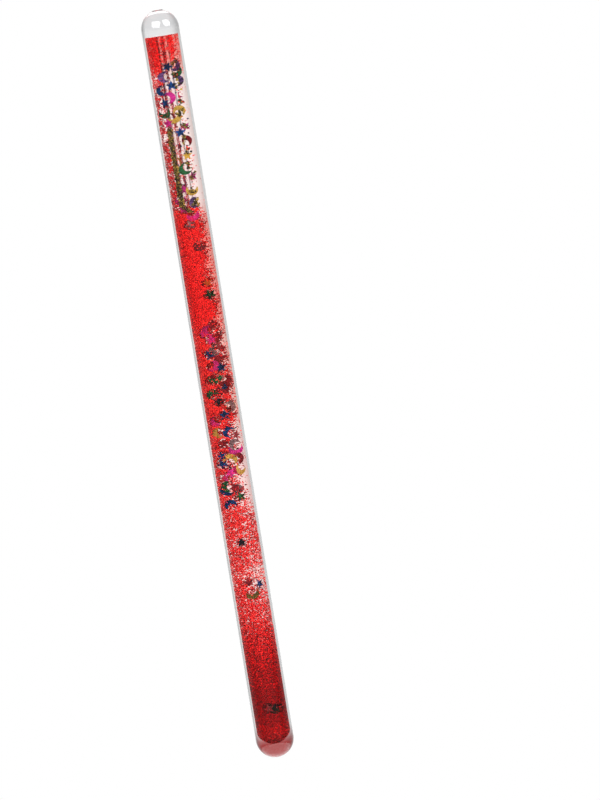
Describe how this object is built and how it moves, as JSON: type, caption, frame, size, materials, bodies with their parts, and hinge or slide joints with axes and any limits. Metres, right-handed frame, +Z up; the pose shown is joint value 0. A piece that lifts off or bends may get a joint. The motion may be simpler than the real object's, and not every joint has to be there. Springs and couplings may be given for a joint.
{
  "type": "glitter wand",
  "caption": "Sealed clear wand: a straight thick-walled tube with domed ends, full of liquid in which red glitter and foil stars and moons drift.",
  "frame": {"origin": "lowest point of the bottom dome, on the wand's axis", "axes": "+Z runs up the wand's axis to the top dome, +X is to the viewer's right, -Y faces the viewer"},
  "size_m": [0.016, 0.016, 0.318],
  "materials": {
    "clear_plastic": "polished clear acrylic",
    "liquid": "clear, faintly pink liquid",
    "glitter_red": "metallised red glitter",
    "foil_silver": "metallised film",
    "foil_green": "metallised film",
    "foil_red": "metallised film",
    "foil_blue": "metallised film",
    "foil_olive": "metallised film",
    "foil_black": "metallised film",
    "foil_pink": "metallised film",
    "foil_gold": "metallised film",
    "foil_orange": "metallised film",
    "foil_maroon": "metallised film",
    "foil_purple": "metallised film"
  },
  "bodies": {
    "shell": {"tube": "clear_plastic", "top_plug": "clear_plastic", "liquid": "liquid", "glitter_settled": "glitter_red"},
    "bed": {"glitter_bed": "glitter_red", "bed_star_silver": "foil_silver", "bed_moon_green": "foil_green"},
    "grip": {"glitter_grip": "glitter_red", "grip_star_red": "foil_red", "grip_star_blue": "foil_blue", "grip_moon_olive": "foil_olive"},
    "lone": {"glitter_lone": "glitter_red", "lone_star_black": "foil_black"},
    "mid": {"glitter_mid": "glitter_red", "mid_stars_blue": "foil_blue", "mid_stars_pink": "foil_pink", "mid_stars_red": "foil_red", "mid_star_green": "foil_green", "mid_star_black": "foil_black", "mid_moons_red": "foil_red", "mid_moons_silver": "foil_silver", "mid_moons_pink": "foil_pink", "mid_moons_green": "foil_green", "mid_moons_gold": "foil_gold", "mid_moons_blue": "foil_blue"},
    "duo": {"glitter_duo": "glitter_red", "duo_star_orange": "foil_orange", "duo_star_green": "foil_green"},
    "single": {"glitter_single": "glitter_red", "single_moon_maroon": "foil_maroon"},
    "top": {"glitter_top": "glitter_red", "top_stars_blue": "foil_blue", "top_stars_pink": "foil_pink", "top_star_yellow": "foil_gold", "top_star_silver": "foil_silver", "top_moons_purple": "foil_purple", "top_moons_green": "foil_green", "top_moon_blue": "foil_blue", "top_moons_pink": "foil_pink", "top_moons_gold": "foil_gold", "top_moons_red": "foil_red"}
  },
  "joints": [
    {"name": "drift_bed", "type": "slide", "parent": "shell", "child": "bed", "axis": [0, 0, 1], "range_m": [-0.006, 0], "deforming": ["glitter_settled", "liquid"]},
    {"name": "drift_grip", "type": "slide", "parent": "bed", "child": "grip", "axis": [0, 0, 1], "range_m": [-0.038, 0], "deforming": ["glitter_bed"]},
    {"name": "drift_lone", "type": "slide", "parent": "grip", "child": "lone", "axis": [0, 0, 1], "range_m": [-0.01, 0], "deforming": ["glitter_grip"]},
    {"name": "drift_mid", "type": "slide", "parent": "lone", "child": "mid", "axis": [0, 0, 1], "range_m": [-0.009, 0], "deforming": ["glitter_lone"]},
    {"name": "drift_duo", "type": "slide", "parent": "mid", "child": "duo", "axis": [0, 0, 1], "range_m": [-0.008, 0], "deforming": ["glitter_mid"]},
    {"name": "drift_single", "type": "slide", "parent": "duo", "child": "single", "axis": [0, 0, 1], "range_m": [-0.009, 0], "deforming": ["glitter_duo"]},
    {"name": "drift_top", "type": "slide", "parent": "single", "child": "top", "axis": [0, 0, 1], "range_m": [-0.003, 0], "deforming": ["glitter_single"]}
  ]
}
